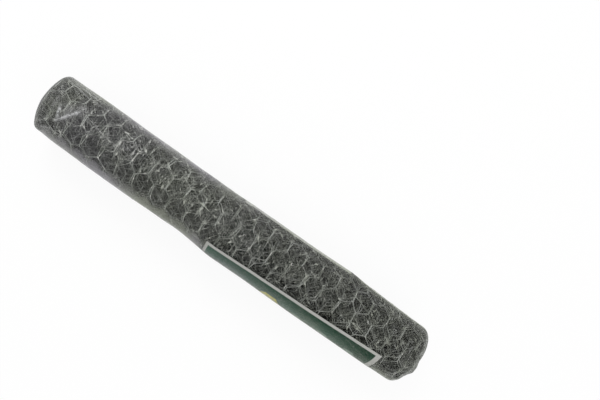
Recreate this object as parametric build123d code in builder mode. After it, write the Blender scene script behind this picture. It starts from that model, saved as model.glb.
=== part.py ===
# Retail roll of galvanised hexagonal wire netting, lying on its side in a clear shrink sleeve.
#
# Three separate pieces make it up:
#   netting_roll  the netting wound into a hollow roll, one turned solid whose turns show on both ends
#   label_card    the printed card that lies on the netting, under the sleeve
#   shrink_film   the thin sleeve that follows the roll and turns in over the rims of both ends
#
# Frame: millimetres, X along the roll, Z up, origin on the bore's axis at mid-length.
# Angles round the roll are counted from the top (+Z) towards the front (-Y).

import os
from math import cos, degrees, pi, radians, sin

from build123d import *

# Netting
netting_width = 500.0  # the netting's width is the roll's length
bore_radius = 11.0  # hollow left by the winding mandrel
neck_radius = 36.2  # plain run on the left, where the turns are tightest
belly_radius = 37.7  # looser turns under the card
crown_radius = 38.5  # the loosest place
shoulder_radius = 36.2  # plain run on the right
neck_end = -60.0  # where the roll widens from neck to belly, from mid-length
belly_start = -10.0
belly_end = 105.0
crown_station = 144.0
shoulder_start = 198.0
left_rim = 1.5  # rounding of the outer corner at each end
right_rim = 6.0
rim_flats = 3  # flats that a rounding is made of

# Turns that show on the ends
turn_pitch = 2.5  # one turn with its looseness, about three of the real turns
turn_gap = 0.7  # open gap between two turns
turn_gap_depth = 2.5  # how far the gap is open from the end
inner_land = 1.6  # solid turn left round the bore
outer_land = 2.0  # solid turn left inside the rounding of each rim

# Printed card
card_length = 229.0
card_width = 110.0  # measured round the roll
card_thickness = 0.3
card_left_end = -12.9  # the card's left end, from mid-length
card_top_angle = 36.0  # the card's upper long edge, at the middle of its length
card_skew = 2.7  # the card lies this many degrees out of square

# Shrink sleeve
film_thickness = 0.2
film_clearance = 0.2  # running gap between two layers, card to netting and card to sleeve
film_mouth_radius = 21.0  # round opening that the shrunk sleeve leaves at each end

half_width = netting_width / 2
card_gap = film_clearance
film_gap = card_gap + card_thickness + film_clearance


def rim_points(end, radius, rim, into_roll):
    """Corners of the flats that round a rim, from the end face to the plain run."""
    points = []
    for corner in range(rim_flats + 1):
        turn = pi / 2 * corner / rim_flats
        station = end + into_roll * rim * (1 - cos(turn))
        points.append((station, radius - rim * (1 - sin(turn))))
    return points


def outline(gap, foot_radius):
    """Draws, in the open BuildLine, the roll's outline a gap outside the netting.

    It runs from a foot radius on the left end to the same radius on the right end.
    """
    left_end = -half_width - gap
    right_end = half_width + gap
    left_corners = rim_points(left_end, neck_radius + gap, left_rim + gap, 1)
    right_corners = rim_points(right_end, shoulder_radius + gap, right_rim + gap, -1)
    points = [
        (left_end, foot_radius),
        *left_corners,
        (neck_end, neck_radius + gap),
        (belly_start, belly_radius + gap),
        (belly_end, belly_radius + gap),
        (crown_station, crown_radius + gap),
        (shoulder_start, shoulder_radius + gap),
        *reversed(right_corners),
        (right_end, foot_radius),
    ]
    Polyline(*points)
    return points[0], points[-1]


def skin_section(inner_gap, outer_gap, mouth_radius):
    """Draws the section of a thin skin between two outlines, closed at a mouth radius at both ends."""
    inner_left, inner_right = outline(inner_gap, mouth_radius)
    outer_left, outer_right = outline(outer_gap, mouth_radius)
    Line(inner_left, outer_left)
    Line(inner_right, outer_right)


def spiral_wall(first_radius, half_turns):
    """Draws one wall of the gap between turns as half circles, each half a pitch larger than the last."""
    arcs = []
    for half_turn in range(half_turns):
        radius = first_radius + half_turn * turn_pitch / 2
        odd = half_turn % 2
        arcs.append(CenterArc((odd * turn_pitch / 2, 0), radius, 180 * odd, 180))
    return arcs[0] @ 0, arcs[-1] @ 1


def skin_point(station, angle, radius):
    """A point at an angle round the roll."""
    turn = radians(angle)
    return Vector(station, -radius * sin(turn), radius * cos(turn))


# Wound netting
with BuildPart() as netting_roll:
    with BuildSketch(Plane.XZ):
        with BuildLine():
            left_foot, right_foot = outline(0, bore_radius)
            Line(left_foot, right_foot)
        make_face()
    revolve(axis=Axis.X)

    # The gap between turns, open at both ends of the roll, wound the same way at both
    first_gap_radius = bore_radius + inner_land
    roll_ends = (
        (half_width, -turn_gap_depth, shoulder_radius - right_rim),
        (-half_width, turn_gap_depth, neck_radius - left_rim),
    )
    for station, into_roll, flat_radius in roll_ends:
        last_gap_radius = flat_radius - outer_land
        half_turn_count = 2 * int((last_gap_radius - turn_gap - first_gap_radius) / turn_pitch)
        with BuildSketch(Plane.YZ.offset(station)):
            with BuildLine():
                inner_start, inner_end = spiral_wall(first_gap_radius, half_turn_count)
                outer_start, outer_end = spiral_wall(first_gap_radius + turn_gap, half_turn_count)
                Line(inner_start, outer_start)
                Line(inner_end, outer_end)
            make_face()
        extrude(amount=into_roll, mode=Mode.SUBTRACT)


# Printed card, cut from a skin that follows the netting
wrap_angle = degrees(card_width / belly_radius)
card_middle_station = card_left_end + card_length / 2
card_middle_angle = card_top_angle + wrap_angle / 2

with BuildPart() as label_card:
    with BuildSketch(Plane.XZ):
        with BuildLine():
            skin_section(card_gap, card_gap + card_thickness, bore_radius)
        make_face()
    revolve(axis=Axis.X)

    # Its two long edges, then its two short ends
    for edge_angle, kept_side in ((card_top_angle, 1), (card_top_angle + wrap_angle, -1)):
        outward = skin_point(0, edge_angle, 1)
        around = skin_point(0, edge_angle + 90, 1)
        along_edge = Vector(1, 0, 0).rotate(Axis((0, 0, 0), outward), card_skew)
        across_edge = outward.cross(along_edge)
        if across_edge.dot(around) * kept_side < 0:
            across_edge = -across_edge
        edge_plane = Plane(
            origin=skin_point(card_middle_station, edge_angle, belly_radius),
            z_dir=across_edge,
        )
        split(bisect_by=edge_plane, keep=Keep.TOP)
    middle_outward = skin_point(0, card_middle_angle, 1)
    end_direction = Vector(1, 0, 0).rotate(Axis((0, 0, 0), middle_outward), card_skew)
    for kept_side in (1, -1):
        end_plane = Plane(
            origin=skin_point(card_middle_station, card_middle_angle, belly_radius)
            - end_direction * (kept_side * card_length / 2),
            z_dir=end_direction * kept_side,
        )
        split(bisect_by=end_plane, keep=Keep.TOP)


# Shrink sleeve
with BuildPart() as shrink_film:
    with BuildSketch(Plane.XZ):
        with BuildLine():
            skin_section(film_gap, film_gap + film_thickness, film_mouth_radius)
        make_face()
    revolve(axis=Axis.X)


netting_roll.part.label = "netting_roll"
label_card.part.label = "label_card"
shrink_film.part.label = "shrink_film"

os.makedirs("parts", exist_ok=True)
export_step(netting_roll.part, "parts/netting_roll.step")
export_step(label_card.part, "parts/label_card.step")
export_step(shrink_film.part, "parts/shrink_film.step")
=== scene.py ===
# Roll of galvanised hexagonal wire netting in a clear shrink sleeve, dressed over its frame.
# Sizes are in millimetres, and turned into metres where a mesh is made.
# Angles round the roll run from its top (+Z) towards the card's side (-Y).

from math import cos, pi, radians, sin

import bpy
import numpy as np
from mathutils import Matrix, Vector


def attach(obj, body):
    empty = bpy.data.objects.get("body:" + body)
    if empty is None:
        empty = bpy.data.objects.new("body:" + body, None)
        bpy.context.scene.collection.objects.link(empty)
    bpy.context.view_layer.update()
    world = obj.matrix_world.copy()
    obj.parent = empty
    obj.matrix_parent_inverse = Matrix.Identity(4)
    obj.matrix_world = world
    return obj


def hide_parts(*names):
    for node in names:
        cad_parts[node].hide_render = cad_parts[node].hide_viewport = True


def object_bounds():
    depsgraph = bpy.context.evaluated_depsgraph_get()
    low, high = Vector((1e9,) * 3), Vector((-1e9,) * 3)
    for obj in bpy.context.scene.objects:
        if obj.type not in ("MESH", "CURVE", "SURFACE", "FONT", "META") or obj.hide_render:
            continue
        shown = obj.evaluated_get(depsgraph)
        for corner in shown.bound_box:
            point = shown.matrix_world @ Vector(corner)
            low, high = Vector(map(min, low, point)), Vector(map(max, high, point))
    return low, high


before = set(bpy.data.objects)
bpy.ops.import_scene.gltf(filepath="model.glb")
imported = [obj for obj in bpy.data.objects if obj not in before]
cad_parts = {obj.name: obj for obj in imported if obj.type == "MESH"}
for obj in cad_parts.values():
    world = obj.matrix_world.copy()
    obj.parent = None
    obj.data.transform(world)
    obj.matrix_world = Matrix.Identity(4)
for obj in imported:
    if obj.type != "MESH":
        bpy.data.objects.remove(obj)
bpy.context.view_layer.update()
mm = 0.001


# Outside of the roll, under the sleeve's skin

roll = {
    "halfWidth": 250.0,  # half the netting's width
    "boreRadius": 11.0,
    "leftRim": 2.0,  # rounding of the ends
    "rightRim": 8.0,
    "rimShare": 0.98,  # share of a rounding that the netting follows
    "sleeveGap": 0.9,  # from the netting to the sleeve's outside
    "outlineReach": 270.0,  # how far out the outline is worked out
    "softenOver": 9,  # how far the outline's corners are eased
    # station along the roll and radius there, on the far (+Y) and the near (-Y) side
    "farSide": ((-250, 37.2), (-210, 37.8), (-60, 37.4), (0, 37.9), (95, 38.8),
                (146, 40.5), (165, 39.0), (195, 38.2), (226, 37.4), (250, 37.2)),
    "nearSide": ((-250, 36.7), (-217, 37.0), (-171, 37.9), (-120, 37.8), (-58, 36.3), (-46, 36.3),
                 (-5, 40.1), (42, 39.1), (110, 39.2), (165, 38.2), (250, 37.3)),
    # angle in degrees and how far the end stands out there
    "leftEnd": ((-180, 0.0), (-60, 0.0), (-30, -0.3), (8, 0.3), (30, -0.4), (48, -0.9), (70, -0.3),
                (180, 0.0)),
    "rightEnd": ((-180, 0.0), (-60, 0.8), (-33, 0.7), (-10, 0.5), (-3, 0.3), (3, 1.1), (10, 2.2), (24, 2.6),
                 (33, 0.0), (42, -1.0), (60, -0.8), (90, 0.0), (180, 0.0)),
    "endReach": 26.0,  # how far in from an end that is felt
    "endOver": 1.1,  # and how far outwards, as a share of that
    # places where the sleeve stands off the netting: stations and their easing, angles and theirs, depth,
    # and degrees that the meshes reach into them
    "standOffs": ((2, 142, 12, -112, -66, 12, 1.3, 0), (-236, -16, 14, 49, 112, 6, 0.8, 4.6)),
    "scallops": (-244.1, 22.64),  # place of one of the meshes that reach into them, and their spacing
    "sides": (86, 8),  # degrees from the top to the roll's sides, and their easing
    "wander": (13.0, 84, 19, 16),  # degrees that their edges wander there, seed, step along, steps round
    "sideEase": 2.0,  # how much gentler their edges are there
}


def sideOutline(points):
    # radius at every millimetre along the roll, with the corners eased
    stations, radii = np.array(points, float).T
    reach, ease = roll["outlineReach"], roll["softenOver"]
    padded = np.interp(np.arange(-reach - ease, reach + ease + 1), stations, radii)
    weights = np.hanning(2 * ease + 3)
    return np.arange(-reach, reach + 1), np.convolve(padded, weights[1:-1] / weights.sum(), "valid")


farOutline = sideOutline(roll["farSide"])
nearOutline = sideOutline(roll["nearSide"])


def rollRadius(x, angle):
    # outside of the sleeve at a station and an angle, without the rims
    far = np.interp(x, *farOutline)
    near = np.interp(x, *nearOutline)
    return (far + near) / 2 + (near - far) / 2 * np.sin(angle)


def rimDrop(x):
    # how far the rounded rims pull the netting in
    drop = 0 * x
    for side, rim in ((-1, roll["leftRim"]), (1, roll["rightRim"])):
        share = ((side * x - roll["halfWidth"] + rim) / rim).clip(0, roll["rimShare"])
        drop = drop + rim * (1 - np.sqrt(1 - share ** 2))
    return drop


def turnDegrees(angle):
    return (np.degrees(angle) + 180) % 360 - 180


def window(value, low, high, ease):
    # one between two limits, eased to nothing outside them
    rise = ((value - low) / ease + 0.5).clip(0, 1)
    fall = ((high - value) / ease + 0.5).clip(0, 1)
    return rise ** 2 * (3 - 2 * rise) * fall ** 2 * (3 - 2 * fall)


def patchShare(x, angle, lowX, highX, easeX, lowTurn, highTurn, easeTurn, scallop):
    # one inside a patch, eased to nothing outside it, its edges scalloped by the meshes, and wandering
    # where they don't show in the photo
    first, spacing = roll["scallops"]
    sidesFrom, sidesOver = roll["sides"]
    wander, *noise = roll["wander"]
    turn = turnDegrees(angle) - scallop * np.cos(2 * pi * (x - first) / spacing)
    onSide = ((np.abs(turn) - sidesFrom) / sidesOver).clip(0, 1)
    turn = turn + onSide * wander * roundNoise(x, angle, *noise)
    gentler = 1 + roll["sideEase"] * onSide
    return window(x, lowX, highX, easeX * gentler) * window(turn, lowTurn, highTurn, easeTurn * gentler)


def standOff(x, angle):
    # how far the netting lies below the sleeve, beyond the usual gap
    gap = 0 * x
    for *limits, depth, scallop in roll["standOffs"]:
        gap = np.maximum(gap, depth * patchShare(x, angle, *limits, scallop))
    return gap


def endShift(x, angle):
    # how far a station near an end moves with the uneven end
    reach = roll["endReach"]
    shift = 0 * x
    for side, unevenness in ((-1, roll["leftEnd"]), (1, roll["rightEnd"])):
        share = ((side * x - roll["halfWidth"] + reach) / reach).clip(0, roll["endOver"]) ** 2
        shift = shift + side * share * np.interp(turnDegrees(angle), *np.array(unevenness).T)
    return shift


def onRoll(x, angle, radius):
    return np.stack([x + 0 * radius, -radius * np.sin(angle), radius * np.cos(angle)], -1)


def softNoise(u, v, seed, stepU, stepV, roundV=0):
    # smooth values from -1 to 1 on a random lattice; roundV is the number of steps in a full turn
    lattice = np.random.default_rng(seed).uniform(-1, 1, (97, roundV or 89))
    u, v = np.asarray(u) / stepU + 500, np.asarray(v) / stepV + (0 if roundV else 500)
    baseU, baseV = np.floor(u).astype(int), np.floor(v).astype(int)
    fracU, fracV = u - baseU, v - baseV
    fracU, fracV = fracU ** 2 * (3 - 2 * fracU), fracV ** 2 * (3 - 2 * fracV)
    rows, columns = lattice.shape
    lowU, highU = baseU % rows, (baseU + 1) % rows
    lowV, highV = baseV % columns, (baseV + 1) % columns
    low, high = [lattice[lowU, side] * (1 - fracU) + lattice[highU, side] * fracU for side in (lowV, highV)]
    return low * (1 - fracV) + high * fracV


def roundNoise(x, angle, seed, stepX, count):
    # the same over the roll, with a number of steps round it
    return softNoise(x, angle, seed, stepX, 2 * pi / count, count)


def addObject(name, data):
    added = bpy.data.objects.new(name, data)
    bpy.context.scene.collection.objects.link(added)
    return added


def makeMesh(name, points, faces, material, slot, *nodes):
    # a smooth piece from points in millimetres, standing for CAD nodes
    mesh = bpy.data.meshes.new(name)
    mesh.from_pydata((np.asarray(points).reshape(-1, 3) * mm).tolist(), [], faces)
    mesh.polygons.foreach_set("use_smooth", [True] * len(mesh.polygons))
    mesh.materials.append(material)
    piece = addObject(name, mesh)
    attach(piece, "root")
    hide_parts(*nodes)
    return piece


def addTones(piece, tones):
    # values at its points, for its material
    for name, tone in tones.items():
        layer = piece.data.attributes.new(name, "FLOAT", "POINT")
        layer.data.foreach_set("value", tone.astype(np.float32).ravel())


# Materials

def makeTree(name):
    material = bpy.data.materials.new(name)
    material.use_nodes = True
    tree = material.node_tree
    return material, tree, tree.nodes["Principled BSDF"]


def feed(tree, socket, value):
    # a link from another socket, or a plain value
    if isinstance(value, bpy.types.NodeSocket):
        tree.links.new(value, socket)
    else:
        socket.default_value = value


def addNode(tree, kind, settings=None, **inputs):
    node = tree.nodes.new("ShaderNode" + kind)
    for key, value in (settings or {}).items():
        setattr(node, key, value)
    for key, value in inputs.items():
        feed(tree, node.inputs[key], value)
    return node


def mixed(tree, factor, first, second):
    node = addNode(tree, "Mix", {"data_type": "RGBA"})
    for socket, value in ((node.inputs[0], factor), (node.inputs[6], first), (node.inputs[7], second)):
        feed(tree, socket, (*value, 1.0) if isinstance(value, tuple) else value)
    return node.outputs[2]


def ranged(tree, value, fromMin, fromMax, toMin, toMax):
    node = addNode(tree, "MapRange")
    for socket, part in zip(node.inputs[:5], (value, fromMin, fromMax, toMin, toMax)):
        feed(tree, socket, part)
    return node.outputs[0]


def maths(tree, operation, first, second=0.0):
    node = addNode(tree, "Math", {"operation": operation})
    for socket, value in zip(node.inputs, (first, second)):
        feed(tree, socket, value)
    return node.outputs[0]


def product(tree, first, second):
    return maths(tree, "MULTIPLY", first, second)


def total(tree, first, *others):
    for other in others:
        first = maths(tree, "ADD", first, other)
    return first


def attribute(tree, name):
    return addNode(tree, "Attribute", {"attribute_name": name}).outputs["Fac"]


def makeMottleGroup():
    # cloudy patches, for tarnish on zinc, haze on film and wear on card
    group = bpy.data.node_groups.new("mottle", "ShaderNodeTree")
    for label, usual in (("Scale", 20.0), ("Detail", 4.0), ("Threshold", 0.5), ("Softness", 0.2)):
        group.interface.new_socket(label, in_out="INPUT", socket_type="NodeSocketFloat").default_value = usual
    group.interface.new_socket("Stretch", in_out="INPUT", socket_type="NodeSocketVector")
    group.interface.new_socket("Mask", in_out="OUTPUT", socket_type="NodeSocketFloat")
    ins, outs = group.nodes.new("NodeGroupInput"), group.nodes.new("NodeGroupOutput")
    stretched = addNode(group, "VectorMath", {"operation": "MULTIPLY"})
    group.links.new(addNode(group, "TexCoord").outputs["Object"], stretched.inputs[0])
    group.links.new(ins.outputs["Stretch"], stretched.inputs[1])
    noise = addNode(group, "TexNoise", Vector=stretched.outputs[0], Scale=ins.outputs["Scale"],
                    Detail=ins.outputs["Detail"])
    low = maths(group, "SUBTRACT", ins.outputs["Threshold"], ins.outputs["Softness"])
    high = maths(group, "ADD", ins.outputs["Threshold"], ins.outputs["Softness"])
    mask = addNode(group, "MapRange", {"interpolation_type": "SMOOTHSTEP"})
    for socket, value in zip(mask.inputs[:3], (noise.outputs["Fac"], low, high)):
        group.links.new(value, socket)
    group.links.new(mask.outputs[0], outs.inputs["Mask"])
    return group


mottleGroup = makeMottleGroup()


def mottle(tree, scale, threshold=0.5, softness=0.2, detail=4.0, stretch=(1.0, 1.0, 1.0)):
    node = tree.nodes.new("ShaderNodeGroup")
    node.node_tree = mottleGroup
    for key, value in (("Scale", scale), ("Threshold", threshold), ("Softness", softness),
                       ("Detail", detail), ("Stretch", stretch)):
        node.inputs[key].default_value = value
    return node.outputs["Mask"]


def addRoughness(tree, shader, scale, low, high):
    # roughness between two values, in patches
    tree.links.new(ranged(tree, mottle(tree, scale), 0, 1, low, high), shader.inputs["Roughness"])


def addBump(tree, shader, scale, detail, distortion, strength, depth):
    # fine relief, with its depth in metres
    noise = addNode(tree, "TexNoise", Scale=scale, Detail=detail, Distortion=distortion)
    bump = addNode(tree, "Bump", Strength=strength, Distance=depth, Height=noise.outputs["Fac"])
    tree.links.new(bump.outputs[0], shader.inputs["Normal"])


zinc = {
    "bright": (0.405, 0.42, 0.395),
    "dull": (0.168, 0.18, 0.152),
    "tarnish": (60.0, 0.5, 0.22),  # scale, threshold and softness of the dull patches
    "slant": 0.46,  # share of its brightness kept between two twists, away from the painted highlight of the twists
    "duller": ((-80, 110), (1.0, 0.62)),  # stations, and how much of the twists' painted highlight is kept there
    "oxide": (0.60, 0.60, 0.56),  # white bloom on damp spots
    "bloom": (210.0, 0.64, 0.06),  # scale, threshold and softness of the spots
    "metallic": 0.65,
    "roughness": (130.0, 0.32, 0.55),  # scale of its patches, and its range
    "grain": (2600.0, 2.0, 0.0, 0.25, 0.0001),  # scale, detail, distortion, strength and depth
}


def zincMaterial(name, share):
    # painted light and shade: the outer turns are brightened, and the deeper turns have a smaller share of
    # the outer ones' brightness, so that they show darker deeper in the roll
    material, tree, shader = makeTree(name)
    bright, dull, oxide = [tuple(part * share for part in zinc[tone]) for tone in ("bright", "dull", "oxide")]
    tone = mixed(tree, mottle(tree, *zinc["tarnish"]), bright, dull)
    tone = mixed(tree, mottle(tree, *zinc["bloom"]), tone, oxide)
    # the slants take a darker tone and the twists the full one: a painted highlight along the twists
    slantWithoutHighlight = addNode(tree, "HueSaturation", Color=tone, Value=zinc["slant"]).outputs[0]
    tree.links.new(mixed(tree, attribute(tree, "twistHighlight"), slantWithoutHighlight, tone), shader.inputs["Base Color"])
    shader.inputs["Metallic"].default_value = zinc["metallic"]
    addRoughness(tree, shader, *zinc["roughness"])
    addBump(tree, shader, *zinc["grain"])
    return material


# Netting: a strip of hexagonal meshes, wound up from its inner end and left free at its outer end

wire = {
    "rows": 45,  # rows of twists across the strip
    "edgeInset": 0.9,  # from the strip's edge to its outer rows
    "period": 41.6,  # from twist to twist along a row
    "twistLength": 12.8,
    "twistTurns": 2.0,
    "wireRadius": 0.25,
    "twistRadius": 0.26,  # from the twist's axis to each wire's
    "easing": 3.5,  # how gently a wire bends out of a twist
    "bow": (0.45, 0.5, 0.22),  # how far a slant strays from its curve: across, along and out
    "turns": 33,
    "slimRadius": 36.2,  # of the netting where the roll is slimmest
    "topGap": 0.25,  # from the sleeve's outside to the tops of the twists
    "freeEndAngle": radians(209.3),
    "innerEndGap": 0.1,  # from the strip's inner end to the wires
    "askew": 0.0183,  # the strip is wound a little out of square
    # lengths of strip, and how far its twists are shifted there so that two outer turns' meshes lie nearly
    # on each other
    "nested": ((0, 150, 256), (0, 0, 10.0)),
    "shiftAcross": 5.0,  # the meshes' middle lies this far to the right
    "driftAcross": 1.6,  # slow wandering of the meshes
    "driftAlong": 2.6,
    "driftNoise": ((21, 31, 47), (22, 240, 130), (23, 36, 60)),  # seeds and steps: across, slow, along
    "strayAcross": 0.45,  # and what each twist strays by itself
    "strayAlong": 1.2,
    "strayTilt": 0.13,
    "crumple": (0.5, -100, 60),  # how much more disturbed the left is, from where, and easing
    "edgeHold": 8,  # power by which moves across die away at the edges
    "lift": 0.14,
    "liftNoise": (24, 19, 23),
    "innerShares": (0.35, 0.3),  # shares of that lift and of the uneven ends on the innermost turn
    "endStray": 1.7,  # how far the turns end short of each other
    "endNoise": (40, 25, 0.9, 1),  # steps from the middle to the ends, seed and steps
    "endPower": 6,  # power by which it grows towards the ends
    "seed": 11,
    # first turn, sides of a wire, steps in a twist, steps between two twists, brightness, a painted light and
    # shade that is brighter outside and darker for the deeper turns
    "levels": (("netting_outer_turns", 0, 6, 10, 5, 1.18), ("netting_middle_turns", 2, 4, 6, 3, 0.71),
               ("netting_inner_turns", 7, 4, 2, 1, 0.34)),
}
twistTop = wire["twistRadius"] + wire["wireRadius"]
outerPath = wire["slimRadius"] - twistTop  # middle of the strip on its outermost turn
innerPath = roll["boreRadius"] + twistTop
turnPitch = (outerPath - innerPath) / wire["turns"]


def turnedAngle(s):
    # angle wound up after a length of strip from its free end
    return (outerPath - np.sqrt(outerPath ** 2 - turnPitch * s / pi)) * 2 * pi / turnPitch


def lengthAt(turn):
    wound = 2 * pi * turn
    return outerPath * wound - turnPitch * wound ** 2 / (4 * pi)


stripLength = lengthAt(wire["turns"])
halfPeriod = wire["period"] / 2
twistCount = int((stripLength - wire["nested"][1][-1]) / halfPeriod)


def straying(rng, shape):
    # normal values without the rare far ones
    return rng.normal(size=shape).clip(-2, 2)


def twistCentres():
    # station, length along the strip, tilt and lift of every twist
    rng = np.random.default_rng(wire["seed"])
    reach = roll["halfWidth"] - wire["edgeInset"]
    row, column = np.meshgrid(np.linspace(-reach, reach, wire["rows"]), np.arange(twistCount),
                              indexing="ij")
    along = (column + 0.5) * halfPeriod
    along = along + np.interp(along, *wire["nested"])
    inside = 1 - (np.abs(row) / reach) ** wire["edgeHold"]
    more, start, ease = wire["crumple"]
    crumple = 1 + more * ((start - row) / ease).clip(0, 1)
    acrossNoise, slowNoise, alongNoise = wire["driftNoise"]
    across = row + inside * (
        wire["shiftAcross"] + wire["driftAcross"] * crumple * softNoise(row, along, *acrossNoise)
        + wire["driftAcross"] * softNoise(row, along, *slowNoise)
        + wire["strayAcross"] * crumple * straying(rng, row.shape))
    drift = (wire["driftAlong"] * crumple * softNoise(row, along, *alongNoise)
             + wire["strayAlong"] * crumple * straying(rng, row.shape))
    along = along + wire["askew"] * row + drift
    tilt = wire["strayTilt"] * straying(rng, row.shape)
    lift = wire["lift"] * softNoise(row, along, *wire["liftNoise"])
    return across, along, tilt, lift


twistPlaces = twistCentres()


def wirePaths(first, last, twistSteps, slantSteps):
    # points of every wire from one twist column to another, in strip coordinates
    across, along, tilt, lift = twistPlaces
    wires = np.arange(-1, wire["rows"])[:, None]
    columns = np.arange(first, last)[None, :]
    row = wires + (wires + columns) % 2
    paired = (row >= 0) & (row < wire["rows"])  # an edge wire runs plain past every second column
    row = row.clip(0, wire["rows"] - 1)
    side = np.where(paired, np.where(row == wires, 1.0, -1.0), 0.0)
    share = np.linspace(0, 1, twistSteps + 1)
    turn = 2 * pi * wire["twistTurns"] * share
    centreX, centreS = across[row, columns][..., None], along[row, columns][..., None]
    slope, height = tilt[row, columns][..., None], lift[row, columns][..., None]
    run = (share - 0.5) * wire["twistLength"]
    offset = side[..., None] * wire["twistRadius"]
    points = np.stack([centreX + slope * run + offset * np.cos(turn), centreS + run,
                       height + offset * np.sin(turn)], -1)
    blend = (np.arange(1, slantSteps) / slantSteps)[:, None]
    ease = blend ** 2 * (3 - 2 * blend)
    slants = points[:, :-1, -1:] * (1 - ease) + points[:, 1:, :1] * ease
    slants[..., 1] += wire["easing"] * (blend * (1 - blend) * (1 - 2 * blend))[:, 0]
    stray = straying(np.random.default_rng(wire["seed"] + first), (len(wires), last - first - 1, 1, 3))
    slants += stray * wire["bow"] * (4 * blend * (1 - blend))
    path = np.concatenate([points[:, :-1], slants], 2).reshape(len(wires), -1, 3)
    return np.concatenate([path, points[:, -1]], 1)


def woundUp(path):
    # strip coordinates to points in space, with the outward direction, angle and radius of each
    x, s, h = np.moveaxis(path, -1, 0)
    wound = turnedAngle(s.clip(0, stripLength - wire["innerEndGap"]))
    angle = wire["freeEndAngle"] + wound
    share = 1 - wound / (2 * pi * wire["turns"])
    pressed = card["press"] * (cardInset(x, angle) / card["pressEase"] + 1).clip(0, 1)
    outside = rollRadius(x, angle) - wire["topGap"] - standOff(x, angle) - rimDrop(x) - twistTop - pressed
    innerLift, innerShift = wire["innerShares"]
    lift = h * (innerLift + (1 - innerLift) * share)
    radius = innerPath + (outside - innerPath) * share + lift
    outward = onRoll(0 * x, angle, np.ones_like(x))
    side = np.sign(x)
    apart, *noise = wire["endNoise"]
    uneven = 1 + softNoise(wound / (2 * pi), apart * side, *noise)
    nearEnd = (np.abs(x) / roll["halfWidth"]) ** wire["endPower"]
    stray = wire["endStray"] / 2 * uneven * side * nearEnd
    shift = endShift(x, angle) * (innerShift + (1 - innerShift) * share)
    return onRoll(x - stray + shift, angle, radius), outward, angle, radius


def tubes(points, outward, radius, sides):
    # round wires along rows of points, closed at both ends
    tangent = np.gradient(points, axis=1)
    tangent /= np.linalg.norm(tangent, axis=-1, keepdims=True)
    across = np.cross(tangent, outward)
    across /= np.linalg.norm(across, axis=-1, keepdims=True)
    up = np.cross(across, tangent)
    turn = 2 * pi * np.arange(sides) / sides
    ring = (up[:, :, None] * np.cos(turn)[:, None] + across[:, :, None] * np.sin(turn)[:, None]) * radius
    vertices = points[:, :, None] + ring
    wires, steps = points.shape[:2]
    index = np.arange(wires * steps * sides).reshape(wires, steps, sides)
    ahead = np.roll(index, -1, axis=2)
    quads = np.stack([index[:, :-1], index[:, 1:], ahead[:, 1:], ahead[:, :-1]], -1).reshape(-1, 4)
    caps = np.concatenate([index[:, 0], index[:, -1, ::-1]])
    return vertices.reshape(-1, 3), quads.tolist() + caps.tolist()


def twistHighlightShare(x, sides, twistSteps, slantSteps):
    # painted highlight: most along the twists, down to nothing half-way between two of them, and weaker to
    # the right
    between = np.abs(2 * np.arange(1, slantSteps) / slantSteps - 1)
    pattern = np.resize(np.concatenate([np.ones(twistSteps + 1), between]), x.shape[1])
    return np.repeat(np.interp(x, *zinc["duller"]) * pattern, sides)


def makeNetting():
    starts = [level[1] for level in wire["levels"]] + [wire["turns"]]
    columns = [min(int(lengthAt(turn) / halfPeriod), twistCount - 1) for turn in starts]
    outerWires = None
    for level, first, last in zip(wire["levels"], columns, columns[1:]):
        name, _, sides, twistSteps, slantSteps, share = level
        path = wirePaths(first, last + 1, twistSteps, slantSteps)
        points, outward, angle, radius = woundUp(path)
        vertices, faces = tubes(points, outward, wire["wireRadius"], sides)
        piece = makeMesh(name, vertices, faces, zincMaterial(name + "_zinc", share), "galvanised_wire",
                         "netting_roll")
        addTones(piece, {"twistHighlight": twistHighlightShare(points[..., 0], sides, twistSteps, slantSteps)})
        if outerWires is None:
            outerWires = (path[..., 0], angle, radius + wire["wireRadius"])
        print(name, "wires", len(path), "faces", len(faces))
    print("strip length m", round(stripLength * mm, 2))
    return outerWires


# Printed card, laid on the netting under the sleeve

card = {
    "length": 229.0,
    "width": 110.0,  # measured round the roll
    "leftEnd": -12.9,
    "topAngle": radians(35),  # its upper long edge at mid-length
    "skew": radians(2.35),
    "layRadius": 37.7,  # radius that its width is wrapped on
    "underSkin": 0.24,  # from the sleeve's outside
    "press": 0.5,  # how far it presses the netting in
    "pressEase": 2.0,  # how far past its edges that ends
    "thickness": 0.25,
    "steps": (236, 100),
    "waviness": 0.12,
    "waveNoise": (41, 14, 17),  # seed and steps
    "waveTop": 0.1,  # the waves rise no higher, to stay under the sleeve
    "border": (3.5, 3.4, 5.4),  # on the long edges, the left end and the right end
    "borderEase": 0.2,
    "margin": (0.40, 0.40, 0.38),
    "darkGreen": (0.007, 0.029, 0.015),
    "midGreen": (0.040, 0.100, 0.072),
    "paleGreen": (0.16, 0.22, 0.18),
    "yellow": (0.50, 0.45, 0.06),
    "darkEdge": (-0.48, -0.32),  # shares of the width where the dark upper edge turns mid green
    "lightLeft": (-0.5, 0.1, 0.6),  # shares of the length where a lighter tone ends, and its own share
    "darkRight": (0.18, 0.40, 0.72),  # and where a darker one begins
    "clouds": (0.35, 22.0, 0.5, 0.3),  # share, scale, threshold and softness of darker clouds
    "meshScale": 90.0,  # cells of the fine mesh in a metre
    "meshLine": (0.03, 0.07, 0.7),  # half widths of its lines in cells, and their strength
    "meshFrom": (6.0, 8.0),  # it begins between these, below the card's middle line
    "hexagonRow": (-22.0, -24.0, 36.0),  # the middle one's place, and their spacing
    "hexagonReach": (13.0, 8.0),  # half heights of the middle one and the others
    "hexagonEase": 0.3,
    "hexagonSide": (0.866, 0.5),  # cosine and sine of 30 degrees
    "roughness": (160.0, 0.35, 0.55),  # scale of its patches, and its range
    "specular": 0.12,
}
cardMiddle = card["leftEnd"] + card["length"] / 2
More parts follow.
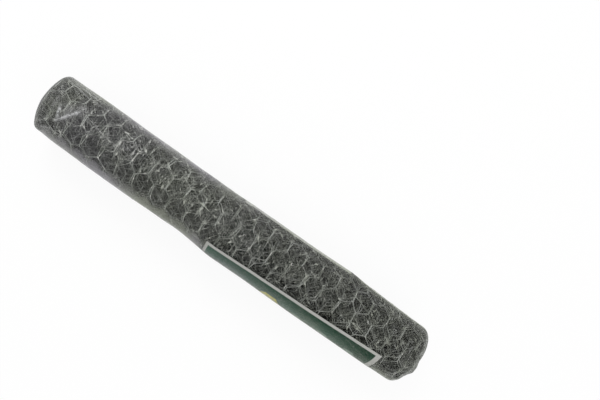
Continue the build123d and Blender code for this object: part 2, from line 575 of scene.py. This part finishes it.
cardMiddleAngle = card["topAngle"] + card["width"] / card["layRadius"] / 2


def cardToRoll(u, w):
    # station and angle of a point on the flat card, from its middle, u along and w round
    turn = card["skew"]
    return (cardMiddle + u * cos(turn) + w * sin(turn),
            cardMiddleAngle + (w * cos(turn) - u * sin(turn)) / card["layRadius"])


def cardInset(x, angle):
    # how far a place round the roll lies inside the card's edges
    turn = card["skew"]
    shift = x - cardMiddle
    swing = ((angle - cardMiddleAngle + pi) % (2 * pi) - pi) * card["layRadius"]
    u = shift * cos(turn) - swing * sin(turn)
    w = shift * sin(turn) + swing * cos(turn)
    return np.minimum(card["length"] / 2 - np.abs(u), card["width"] / 2 - np.abs(w))


def makeCard(material):
    stepsU, stepsW = card["steps"]
    u, w = np.meshgrid(np.linspace(-0.5, 0.5, stepsU) * card["length"],
                       np.linspace(-0.5, 0.5, stepsW) * card["width"], indexing="ij")
    x, angle = cardToRoll(u, w)
    wave = card["waviness"] * softNoise(u, w, *card["waveNoise"])
    top = rollRadius(x, angle) - card["underSkin"] + wave.clip(-1, card["waveTop"])
    layers = [onRoll(x, angle, top - depth) for depth in (0.0, card["thickness"])]
    count = stepsU * stepsW
    index = np.arange(count).reshape(stepsU, stepsW)
    quads = np.stack([index[:-1, :-1], index[1:, :-1], index[1:, 1:], index[:-1, 1:]], -1).reshape(-1, 4)
    rim = np.concatenate([index[:-1, 0], index[-1, :-1], index[:0:-1, -1], index[0, :0:-1]])
    onward = np.roll(rim, -1)
    edges = np.stack([rim + count, onward + count, onward, rim], -1)
    faces = np.concatenate([quads, quads[:, ::-1] + count, edges]).tolist()
    piece = makeMesh("printed_card", np.stack(layers), faces, material, "printed_card", "label_card")
    flat = np.stack([u, w], -1).reshape(-1, 2)
    flat = np.concatenate([flat, flat]) * mm
    layout = piece.data.uv_layers.new(name="cardLayout")  # the flat card, in metres from its middle
    corners = np.empty(len(piece.data.loops), int)
    piece.data.loops.foreach_get("vertex_index", corners)
    layout.uv.foreach_set("vector", flat[corners].astype(np.float32).ravel())
    return piece


def printedShare(tree, u, w):
    # one inside the pale border, nothing on it
    sides, left, right = card["border"]
    halfLength, halfWidth = card["length"] / 2, card["width"] / 2
    inset = maths(tree, "SUBTRACT", (halfWidth - sides) * mm, maths(tree, "ABSOLUTE", w))
    for end in (maths(tree, "ADD", u, (halfLength - left) * mm),
                maths(tree, "SUBTRACT", (halfLength - right) * mm, u)):
        inset = maths(tree, "MINIMUM", inset, end)
    return ranged(tree, inset, 0, card["borderEase"] * mm, 0, 1)


def greenPrint(tree, u, w):
    # darkest along the upper edge and towards the right
    length, width = card["length"] * mm, card["width"] * mm
    dark, mid = card["darkGreen"], card["midGreen"]
    low, high = card["darkEdge"]
    green = mixed(tree, ranged(tree, w, low * width, high * width, 0, 1), dark, mid)
    low, high, share = card["lightLeft"]
    green = mixed(tree, ranged(tree, u, low * length, high * length, share, 0), green, mid)
    share, *patches = card["clouds"]
    clouds = product(tree, mottle(tree, *patches), share)
    green = mixed(tree, clouds, green, dark)
    low, high, share = card["darkRight"]
    return mixed(tree, ranged(tree, u, low * length, high * length, 0, share), green, dark)


def meshLines(tree, flat, w):
    # fine mesh lines on the lower half
    inner, outer, share = card["meshLine"]
    start, full = card["meshFrom"]
    cell = addNode(tree, "TexVoronoi", {"feature": "DISTANCE_TO_EDGE"}, Vector=flat, Scale=card["meshScale"],
                   Randomness=0.0)
    line = ranged(tree, cell.outputs["Distance"], inner, outer, share, 0)
    return product(tree, line, ranged(tree, w, start * mm, full * mm, 0, 1))


def addHexagons(tree, u, w, green):
    # row of plain hexagons, the middle one larger and yellow
    placeU, placeW, spacing = card["hexagonRow"]
    middleReach, otherReach = card["hexagonReach"]
    cosine, sine = card["hexagonSide"]
    offU = maths(tree, "SUBTRACT", u, placeU * mm)
    offW = maths(tree, "ABSOLUTE", maths(tree, "SUBTRACT", w, placeW * mm))
    nearest = maths(tree, "PINGPONG", offU, spacing / 2 * mm)
    single = maths(tree, "ABSOLUTE", offU)
    for reach, sideways, colour in ((otherReach, nearest, card["paleGreen"]),
                                    (middleReach, single, card["yellow"])):
        slope = total(tree, product(tree, sideways, cosine), product(tree, offW, sine))
        furthest = maths(tree, "MAXIMUM", offW, slope)
        inside = ranged(tree, furthest, (reach - card["hexagonEase"]) * mm, reach * mm, 1, 0)
        green = mixed(tree, inside, green, colour)
    return green


def cardMaterial():
    material, tree, shader = makeTree("coatedCard")
    flat = addNode(tree, "UVMap", {"uv_map": "cardLayout"}).outputs[0]
    u, w = addNode(tree, "SeparateXYZ", Vector=flat).outputs[:2]
    green = mixed(tree, meshLines(tree, flat, w), greenPrint(tree, u, w), card["paleGreen"])
    inks = mixed(tree, printedShare(tree, u, w), card["margin"], addHexagons(tree, u, w, green))
    tree.links.new(inks, shader.inputs["Base Color"])
    addRoughness(tree, shader, *card["roughness"])
    shader.inputs["Specular IOR Level"].default_value = card["specular"]
    return material


makeCard(cardMaterial())
print("card done")
outerWires = makeNetting()


# Shrink sleeve: a skin that spans the outer wires and turns in over the rims

film = {
    "bodyRows": 400,
    "columns": 200,
    # side, its rounding, rows over it, its milkiness, on the left rim mostly a painted sheen, and the place
    # in degrees and whiteness of a painted highlight line on its rim
    "ends": ((-1, "leftRim", 4, 0.50, 60, 0.5), (1, "rightRim", 8, 0.08, 26, 0.5)),
    "rimHighlightWidth": 0.16,
    "relaxSteps": 500,
    "pullIn": 0.0015,  # inward pull for each step of relaxing
    "smoothSteps": 12,
    "smoothLift": 0.10,  # keeps the smoothed skin clear of the wires
    "lowest": -1.3,  # deepest the skin sinks between wires
    "wirePlaces": (0.0, 0.33, 0.66),  # places between two points of a wire that carry the skin
    "onCard": (-0.6, -0.12),  # the card carries the skin from this far inside its edges, at this height
    "standing": (0.8, -0.1),  # the skin lies clear of the wires from this stand-off, at this height
    # the flange that is gathered from a rim to the round mouth
    "flangeRows": 16,
    "mouthRadius": 21.0,
    "mouthUneven": (0.9, 71, 9),  # how much it wanders, seed and steps round
    "sunk": 0.35,  # how far it is sunk in
    "evened": 0.7,  # share of the end's unevenness that is gone there
    "gathers": 34,
    "gatherDepth": 0.5,
    "gatherPower": 1.5,  # power by which they deepen towards the mouth
    "gatherWander": (2.4, 61, 12),  # in radians, seed and steps round
    "gatherWaves": (5, 0.4),  # how often they are deepest, and how much of their depth varies
    "gatherWhite": (0.25, 0.35),  # whiteness at the mouth, and what a gather adds
    "mouthMilk": 0.04,
    "milkPower": 3,  # power by which a rim's milkiness dies away
    # milky places, partly haze and partly a painted sheen along the roll's sides and over the card's lower
    # part: stations and their easing, angles and theirs, how milky seen square on, how much more at a glance,
    # and their scallops
    "hazeAndSheenPatches": (
        (-262, 5, 70, -260, 260, 1, 0.03, 0, 0), (-240, -18, 16, 49, 112, 6, 0.26, 0.9, 4.6),
        (-250, -5, 24, -120, -50, 36, 0.10, 1.2, 0), (-256, -200, 30, -40, 26, 26, 0.08, 0, 0),
        (-6, 138, 4, -112, -66, 5, 0.06, 3.2, 0), (149, 246, 8, -112, -74, 6, 0.06, 1.9, 0),
        (150, 246, 14, -112, -60, 16, 0.02, 0.5, 0), (216, 246, 8, 56, 112, 14, 0.16, 0.5, 0),
        (100, 190, 12, -122, -93, 6, 0.05, 1.3, 0), (-12, 150, 24, 46, 130, 14, 0.03, 0.85, 0),
        (150, 214, 24, 46, 130, 14, 0.01, 0.55, 0), (-245, 245, 10, 150, 215, 20, 0.12, 0, 0),
    ),
    "milkUneven": 0.22,  # how much two clouds change it: share, seed, step along and steps round
    "milkClouds": ((1.0, 81, 26, 14), (0.6, 82, 9, 36)),
    # pleats: station and angle in degrees of both ends, height, width, and whiteness, a painted glint on the
    # fold
    "pleats": (
        (-227, 26, -206, -16, 1.0, 2.1, 0.85), (-217, 6, -207, -14, 0.5, 2.4, 0.85),
        (-224, 24, -230, -7, 0.7, 1.9, 0.85), (-221, 12, -216, -14, 0.4, 4.5, 0.28),
        (-214, -14, -204, -26, 0.3, 2.2, 0.3), (-244, -56, -206, -43, 0.4, 1.2, 0.6),
        (-241, 56, -227, 40, 0.3, 0.9, 0.5), (-240, -68, -175, -62, 0.3, 0.7, 0.4),
        (-243, -61, -190, -53, 0.3, 0.7, 0.6), (-242, -53, -216, -34, 0.3, 0.8, 0.5),
        (-238, -48, -180, -47, 0.2, 0.6, 0.5),
    ),
    "pleatRadius": 37.5,  # they are measured on
    "degreesInMm": 1.53,  # round it
    # small random tension lines in the same form, their whiteness a painted glint
    "creases": {"count": 130, "stations": (-240, 235), "lean": 0.5, "length": (14, 60),
                "height": (0.1, 0.35), "width": (0.7, 1.3), "white": (0.05, 0.26)},
    # small painted glints near the right end, as low raised spots
    "specks": {"count": 26, "last": 232, "spread": 60, "gathering": 1.6, "angles": (-45, 35), "slant": 0.8,
               "turn": (1.2, 3.5), "height": 0.15, "width": 0.8, "white": (0.5, 1.0)},
    "foldSeed": 57,
    # pale lines on the film, partly crinkles and partly painted glints along the wires' directions: direction
    # in degrees from the roll's length, length and spacing, half their width as a share of the spacing,
    # strength
    "crinkleAndGlintLines": ((90, 60, 3.6, 0.018, 0.9), (47, 55, 3.6, 0.017, 1.0), (-49, 55, 3.4, 0.017, 1.0),
                  (12, 90, 7.0, 0.009, 0.9)),
    "linesApart": 1.3,  # step from one direction's pattern to the next
    "lineCore": 0.3,  # share of a line's half width that is full
    "linePatches": (60.0, 25.0, 0.47, 0.12, 2.0),  # scale, its step by direction, threshold, softness, detail
    # stations, and how much the crinkle and glint lines show there
    "lined": ((-245, -215, -60, 80, 205, 240), (0.50, 0.84, 0.76, 0.58, 0.52, 0.34)),
    "cardLined": 0.15,  # share of that over the card
    "cardLinedEase": 2.0,
    "unlinedMilk": 0.25,  # milkiness in which none of the crinkle and glint lines show
    "calm": (-212, -50, 24, 14, 46, 8, 0.65, 0),  # a row of clear meshes: where, and how much is taken away
    "white": (0.84, 0.85, 0.87),  # colour of the painted glint on folds
    "greenish": (0.295, 0.315, 0.25),
    "violet": (0.31, 0.30, 0.325),
    "violetPatches": (14.0, 0.5, 0.15),  # scale, threshold and softness
    "violetUpTo": (-50, 150),  # stations between which the violet dies away
    # tone of the pale crinkle lines and their painted glints
    "crinkleAndGlintTone": (0.60, 0.62, 0.55),
    "haze": (0.006, 0.034),
    "hazeClouds": (26.0, 0.55, 0.25, 5.0),  # scale, threshold, softness and detail
    "streaks": (0.035, 140.0, 0.62, 0.12, 3.0, (0.25, 1.0, 1.0)),  # share, then the same and their stretch
    "foldPatches": (330.0, 0.5, 0.12, 3.0),
    "foldShares": (0.5, 0.5),  # share of the painted glint kept where patches break it up, and what the glint adds to the haze
    "sheen": (0.25, 3.0, 0.25, 1.5),  # blend, power and share on clear film, power on milky film
    "densest": 0.95,
    "metallic": 0.1,
    "roughness": (90.0, 0.22, 0.42),  # scale of its patches, and its range
    "ripple": (420.0, 3.0, 0.6, 0.3, 0.0004),  # scale, detail, distortion, strength and depth
}
sleeveEndX = roll["halfWidth"] + roll["sleeveGap"]


def sleeveRim(rimName):
    # rounding of the sleeve over a rim
    return roll[rimName] + roll["sleeveGap"]


def neighbourMean(skin):
    # mean of the four neighbours of every place, closed round the roll
    ends = np.concatenate([skin[:1], skin, skin[-1:]])
    return (np.roll(skin, 1, 1) + np.roll(skin, -1, 1) + ends[:-2] + ends[2:]) / 4


def skinHeights(x, angle):
    # skin stretched over the wires and the card, as heights from the roll's outside
    rows, columns = x.shape
    floorHeight = np.full(x.shape, film["lowest"])
    wireX, wireAngle, wireRadius = outerWires
    wireParts = (wireX, wireAngle, wireRadius - rollRadius(wireX, wireAngle))
    for share in film["wirePlaces"]:
        placeX, placeAngle, height = [part[:, :-1] * (1 - share) + part[:, 1:] * share for part in wireParts]
        row = np.rint((placeX - x[0, 0]) / (x[-1, 0] - x[0, 0]) * (rows - 1)).astype(int).clip(0, rows - 1)
        column = np.rint(placeAngle / (2 * pi) * columns).astype(int) % columns
        np.maximum.at(floorHeight, (row.ravel(), column.ravel()), height.ravel())
    cardInside, cardHeight = film["onCard"]
    floorHeight[cardInset(x, angle) > cardInside] = cardHeight
    skin = floorHeight.copy()
    for _ in range(film["relaxSteps"]):
        skin = np.maximum(floorHeight, neighbourMean(skin) - film["pullIn"])
    for _ in range(film["smoothSteps"]):
        skin = neighbourMean(skin) / 2 + skin / 2
    skin += film["smoothLift"]
    fullStandOff, standingHeight = film["standing"]
    held = (standOff(x, angle) / fullStandOff).clip(0, 1)
    return skin * (1 - held) + standingHeight * held


def hazeAndSheenAt(x, angle):
    # how much of a milky haze the film has, with a painted sheen in it, seen square on and at a glance
    hazeAndSheen, glance = 0 * x, 0 * x
    for *limits, share, glanceShare, scallop in film["hazeAndSheenPatches"]:
        place = patchShare(x, angle, *limits, scallop)
        hazeAndSheen = np.maximum(hazeAndSheen, share * place)
        glance = np.maximum(glance, glanceShare * place)
    clouds = sum(share * roundNoise(x, angle, *noise) for share, *noise in film["milkClouds"])
    uneven = 1 + film["milkUneven"] * clouds
    return hazeAndSheen * uneven, glance * uneven


def crinkleAndGlintShare(x, angle, hazeAndSheen):
    # how much the crinkle and glint lines show: little over the card, and none where the film is milky
    onCard = (cardInset(x, angle) / film["cardLinedEase"] + 0.5).clip(0, 1)
    *limits, calmShare, scallop = film["calm"]
    calm = calmShare * patchShare(x, angle, *limits, scallop)
    clear = (1 - hazeAndSheen / film["unlinedMilk"]).clip(0, 1)
    return np.interp(x, *film["lined"]) * (1 - (1 - film["cardLined"]) * onCard) * (1 - calm) * clear


def foldAt(x, angle, pleat):
    # height of a raised fold between two places and whiteness of its painted glint, rounded across and
    # tapered to its ends
    startX, startAngle, endX, endAngle, height, width, white = pleat
    scale = film["pleatRadius"]
    swing = (angle - radians(startAngle) + pi) % (2 * pi) - pi
    du, dw = endX - startX, radians(endAngle - startAngle) * scale
    length = (du ** 2 + dw ** 2) ** 0.5
    u, w = x - startX, swing * scale
    along = (u * du + w * dw) / length
    across = (u * dw - w * du) / length
    share = (along / length).clip(0, 1)
    taper = (4 * share * (1 - share)) ** 0.5 * ((along > 0) & (along < length))
    foldAndGlint = np.exp(-(across / width) ** 2) * taper
    return foldAndGlint * height, foldAndGlint * white


def allPleats():
    # the chosen ones, then random creases and specks
    rng = np.random.default_rng(film["foldSeed"])
    pleats = list(film["pleats"])
    crease, speck = film["creases"], film["specks"]
    for _ in range(crease["count"]):
        startX, startAngle = rng.uniform(*crease["stations"]), rng.uniform(0, 360)
        lean, reach = rng.normal(0, crease["lean"]), rng.uniform(*crease["length"])
        endX, endAngle = startX + reach * cos(lean), startAngle + reach * sin(lean) * film["degreesInMm"]
        shape = [rng.uniform(*crease[part]) for part in ("height", "width", "white")]
        pleats.append((startX, startAngle, endX, endAngle, *shape))
    for _ in range(speck["count"]):
        startX = speck["last"] - speck["spread"] * rng.uniform() ** speck["gathering"]
        startAngle = rng.uniform(*speck["angles"])
        endX = startX + rng.uniform(-speck["slant"], speck["slant"])
        endAngle = startAngle + rng.uniform(*speck["turn"])
        white = rng.uniform(*speck["white"])
        pleats.append((startX, startAngle, endX, endAngle, speck["height"], speck["width"], white))
    return pleats


def rimRings(end, angles, edge):
    # rings over a rim: points, whiteness with a painted highlight line, milkiness with its painted sheen, and
    # glance of each
    side, rimName, rimRows, rimHazeAndSheen, highlightPlace, highlightWhite = end
    radius, white, hazeAndSheen, glance = edge
    rim = sleeveRim(rimName)
    for step in range(1, rimRows + 1):
        turn = pi / 2 * step / rimRows
        station = np.full(len(angles), side * (sleeveEndX - rim + rim * sin(turn)))
        points = onRoll(station + endShift(station, angles), angles, radius - rim * (1 - cos(turn)))
        # a painted highlight line round the rim
        line = highlightWhite * np.exp(-((turn - radians(highlightPlace)) / film["rimHighlightWidth"]) ** 2)
        yield points, white * cos(turn) + line, hazeAndSheen * cos(turn) + rimHazeAndSheen * sin(turn), glance * cos(turn)


def flangeRings(end, angles, edge):
    # rings from a rim to the mouth, in the same form
    side, rimName, _, rimHazeAndSheen, _, _ = end
    inner = edge[0] - sleeveRim(rimName)
    level = 0 * angles
    shift = endShift(level + side * sleeveEndX, angles)
    wander, seed, steps = film["gatherWander"]
    phase = wander * roundNoise(level, angles, seed + side, 1, steps)
    waves, varied = film["gatherWaves"]
    deeper = 1 - varied + varied * np.cos(waves * angles + side)
    gathered = np.cos(film["gathers"] * angles + phase) * deeper
    wander, seed, steps = film["mouthUneven"]
    mouth = film["mouthRadius"] + wander * roundNoise(level, angles, seed + side, 1, steps)
    white, gatherWhite = film["gatherWhite"]
    for step in range(1, film["flangeRows"] + 1):
        share = step / film["flangeRows"]
        ruffle = film["gatherDepth"] * gathered * share ** film["gatherPower"]
        station = side * (sleeveEndX - film["sunk"] * share + ruffle)
        station = station + shift * (1 - film["evened"] * share)
        points = onRoll(station, angles, inner * (1 - share) + mouth * share)
        hazeAndSheen = rimHazeAndSheen * (1 - share) ** film["milkPower"] + film["mouthMilk"] * share
        yield points, share * (white + gatherWhite * gathered.clip(0, 1)), level + hazeAndSheen, level


def makeSleeve(material):
    angles = np.arange(film["columns"]) * 2 * pi / film["columns"]
    stations = np.linspace(sleeveRim("leftRim") - sleeveEndX, sleeveEndX - sleeveRim("rightRim"),
                           film["bodyRows"])
    x, angle = np.meshgrid(stations, angles, indexing="ij")
    skin = skinHeights(x, angle)
    white = np.zeros_like(skin)
    for pleat in allPleats():
        height, foldAndGlint = foldAt(x, angle, pleat)
        skin += height
        white = np.maximum(white, foldAndGlint)
    radius = rollRadius(x, angle) + skin
    body = onRoll(x + endShift(x, angle), angle, radius)
    hazeAndSheen, glance = hazeAndSheenAt(x, angle)
    ends = []
    for end, row in zip(film["ends"], (0, -1)):
        edge = [part[row] for part in (radius, white, hazeAndSheen, glance)]
        rings = [*rimRings(end, angles, edge), *flangeRings(end, angles, edge)]
        ends.append([np.stack(part) for part in zip(*rings)])
    grid, foldAndGlint, hazeAndSheen, glance = [np.concatenate([left[::-1], middle, right])
                                for left, middle, right in zip(ends[0], (body, white, hazeAndSheen, glance), ends[1])]
    index = np.arange(hazeAndSheen.size).reshape(hazeAndSheen.shape)
    ahead = np.roll(index, -1, axis=1)
    quads = np.stack([index[:-1], ahead[:-1], ahead[1:], index[1:]], -1).reshape(-1, 4)
    piece = makeMesh("shrink_sleeve", grid, quads.tolist(), material, "clear_film", "shrink_film")
    roundAngle = np.broadcast_to(angles, hazeAndSheen.shape)
    addTones(piece, {"foldAndGlint": foldAndGlint, "hazeAndSheen": hazeAndSheen, "glance": glance, "along": grid[..., 0] * mm,
                     "around": np.radians(turnDegrees(roundAngle)) * card["layRadius"] * mm,
                     "lined": crinkleAndGlintShare(grid[..., 0], roundAngle, hazeAndSheen)})
    print("sleeve faces", len(quads))
    return piece


def crinkleAndGlintWeb(tree):
    # fine straight pale lines in patches, partly crinkles and partly painted glints
    place = addNode(tree, "CombineXYZ", X=attribute(tree, "along"), Y=attribute(tree, "around")).outputs[0]
    firstScale, scaleStep, *patches = film["linePatches"]
    web = 0.0
    for number, (direction, reach, spacing, width, share) in enumerate(film["crinkleAndGlintLines"]):
        turned = addNode(tree, "Mapping", {"vector_type": "TEXTURE"}, Vector=place,
                         Location=(number * film["linesApart"], 0, 0), Rotation=(0, 0, radians(direction)),
                         Scale=(reach * mm, spacing * mm, 1))
        noise = addNode(tree, "TexNoise", {"noise_dimensions": "2D"}, Vector=turned.outputs[0], Scale=1.0,
                        Detail=0.0)
        away = maths(tree, "ABSOLUTE", maths(tree, "SUBTRACT", noise.outputs["Fac"], 0.5))
        line = ranged(tree, away, film["lineCore"] * width, width, share, 0)
        line = product(tree, line, mottle(tree, firstScale + scaleStep * number, *patches))
        web = maths(tree, "MAXIMUM", web, line)
    return product(tree, web, attribute(tree, "lined"))


def filmTint(tree, crinkleAndGlintLines, foldAndGlint):
    # violet patches on the left, greenish elsewhere, paler on the crinkle and glint lines, and white where
    # folds carry a painted glint
    start, end = film["violetUpTo"]
    place = addNode(tree, "SeparateXYZ", Vector=addNode(tree, "TexCoord").outputs["Object"]).outputs[0]
    violetShare = product(tree, mottle(tree, *film["violetPatches"]),
                          ranged(tree, place, start * mm, end * mm, 1, 0))
    tint = mixed(tree, violetShare, film["greenish"], film["violet"])
    tint = mixed(tree, crinkleAndGlintLines, tint, film["crinkleAndGlintTone"])
    return mixed(tree, foldAndGlint, tint, film["white"])


def filmHaze(tree):
    # faint clouds and streaks, and more where the film carries its haze and painted sheen
    clouds = ranged(tree, mottle(tree, *film["hazeClouds"]), 0, 1, *film["haze"])
    share, *patches = film["streaks"]
    streaks = product(tree, mottle(tree, *patches), share)
    return total(tree, clouds, streaks, attribute(tree, "hazeAndSheen"))


def sleeveMaterial():
    material, tree, shader = makeTree("clearShrinkFilm")
    kept, added = film["foldShares"]
    # patches break up the folds' painted glint
    brokenGlint = ranged(tree, mottle(tree, *film["foldPatches"]), 0, 1, kept, 1)
    foldAndGlint = product(tree, attribute(tree, "foldAndGlint"), brokenGlint)
    crinkleAndGlintLines = crinkleAndGlintWeb(tree)
    tree.links.new(filmTint(tree, crinkleAndGlintLines, foldAndGlint), shader.inputs["Base Color"])
    blend, power, share, milkyPower = film["sheen"]
    grazing = addNode(tree, "LayerWeight", Blend=blend).outputs["Facing"]
    sheen = product(tree, maths(tree, "POWER", grazing, power), share)
    milkySheen = product(tree, maths(tree, "POWER", grazing, milkyPower), attribute(tree, "glance"))
    alpha = total(tree, filmHaze(tree), total(tree, sheen, milkySheen), product(tree, foldAndGlint, added), crinkleAndGlintLines)
    clamped = addNode(tree, "Clamp", Value=alpha, Max=film["densest"])
    tree.links.new(clamped.outputs[0], shader.inputs["Alpha"])
    shader.inputs["Metallic"].default_value = film["metallic"]
    addRoughness(tree, shader, *film["roughness"])
    addBump(tree, shader, *film["ripple"])
    return material


makeSleeve(sleeveMaterial())
print("sleeve done")


# Floor, light and camera

studio = {
    "floorSize": 6.0,
    "floorShade": 0.86,
    "floorRoughness": 0.9,
    "shadedFloor": 0.22,  # where it shows between the wires
    "plainWhite": 0.9,  # share of it that the camera sees plain white, so that shadows stay faint
    "worldShade": 0.75,
    "lamps": (((-0.9, 1.1, 1.4), 1.0, 16.0), ((1.0, -0.9, 1.2), 1.8, 8.0)),  # place, size, watts
}


def backdropRays(tree):
    # one where the camera, a reflection or a transmitted ray looks
    rays = addNode(tree, "LightPath").outputs
    seen = maths(tree, "MAXIMUM", rays["Is Camera Ray"], rays["Is Glossy Ray"])
    return maths(tree, "MAXIMUM", seen, rays["Is Transmission Ray"])


def mixShaders(tree, share, first, second, output):
    # sends two shaders to the material's or the world's output, the second by its share
    mix = addNode(tree, "MixShader")
    for socket, value in zip(mix.inputs, (share, first, second)):
        tree.links.new(value, socket)
    tree.links.new(mix.outputs[0], tree.nodes[output].inputs["Surface"])


def makeFloor():
    half = studio["floorSize"] / 2
    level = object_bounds()[0][2]
    mesh = bpy.data.meshes.new("floor")
    mesh.from_pydata([(-half, -half, level), (half, -half, level), (half, half, level), (-half, half, level)],
                     [], [(0, 1, 2, 3)])
    floor = addObject("floor", mesh)
    material, tree, shader = makeTree("paleFloor")
    shader.inputs["Roughness"].default_value = studio["floorRoughness"]
    rays = addNode(tree, "LightPath").outputs
    through = maths(tree, "GREATER_THAN", rays["Transparent Depth"], 0.5)  # behind the film
    between = product(tree, through, rays["Is Camera Ray"])
    shades = [(studio[name],) * 3 for name in ("floorShade", "shadedFloor")]
    tree.links.new(mixed(tree, between, *shades), shader.inputs["Base Color"])
    white = addNode(tree, "Emission", Color=(1.0, 1.0, 1.0, 1.0), Strength=1.0)
    share = product(tree, maths(tree, "SUBTRACT", 1.0, through), studio["plainWhite"])
    mixShaders(tree, product(tree, backdropRays(tree), share), shader.outputs[0], white.outputs[0],
               "Material Output")
    mesh.materials.append(material)


def makeLight():
    world = bpy.data.worlds.new("studio")
    bpy.context.scene.world = world
    world.use_nodes = True
    tree = world.node_tree
    plain = tree.nodes["Background"]
    plain.inputs["Color"].default_value = (*[studio["worldShade"]] * 3, 1.0)
    backdrop = addNode(tree, "Background", Color=(1.0, 1.0, 1.0, 1.0), Strength=1.0)
    mixShaders(tree, backdropRays(tree), plain.outputs[0], backdrop.outputs[0], "World Output")
    for number, (place, size, watts) in enumerate(studio["lamps"]):
        lamp = bpy.data.lights.new(f"softbox{number}", "AREA")
        lamp.size, lamp.energy = size, watts
        holder = addObject(lamp.name, lamp)
        holder.location = place
        direction = -holder.location
        holder.rotation_mode = "QUATERNION"
        holder.rotation_quaternion = direction.to_track_quat("-Z", "Y")


view = {
    "distance": 0.650,  # from the roll's axis, straight above its middle
    "turn": radians(35.47),  # how far the roll lies turned in the picture
    "frameWidth": 600,  # the picture, in pixels
    "rollCentre": (231.7, 229.7),  # where the roll's middle shows in it
    "frameCentre": (300.0, 200.0),
    "scaleAtAxis": 1.148 * mm,  # metres to a pixel at the axis's distance
}


def makeCamera():
    data = bpy.data.cameras.new("camera")
    camera = addObject("camera", data)
    camera.location = (0.0, 0.0, view["distance"])
    camera.rotation_euler = (0.0, 0.0, view["turn"])
    data.lens = data.sensor_width * view["distance"] / (view["frameWidth"] * view["scaleAtAxis"])
    data.shift_x = (view["frameCentre"][0] - view["rollCentre"][0]) / view["frameWidth"]
    data.shift_y = (view["rollCentre"][1] - view["frameCentre"][1]) / view["frameWidth"]
    bpy.context.scene.camera = camera


makeFloor()
makeLight()
makeCamera()
bpy.context.scene.view_settings.view_transform = "Standard"

print("scene done")
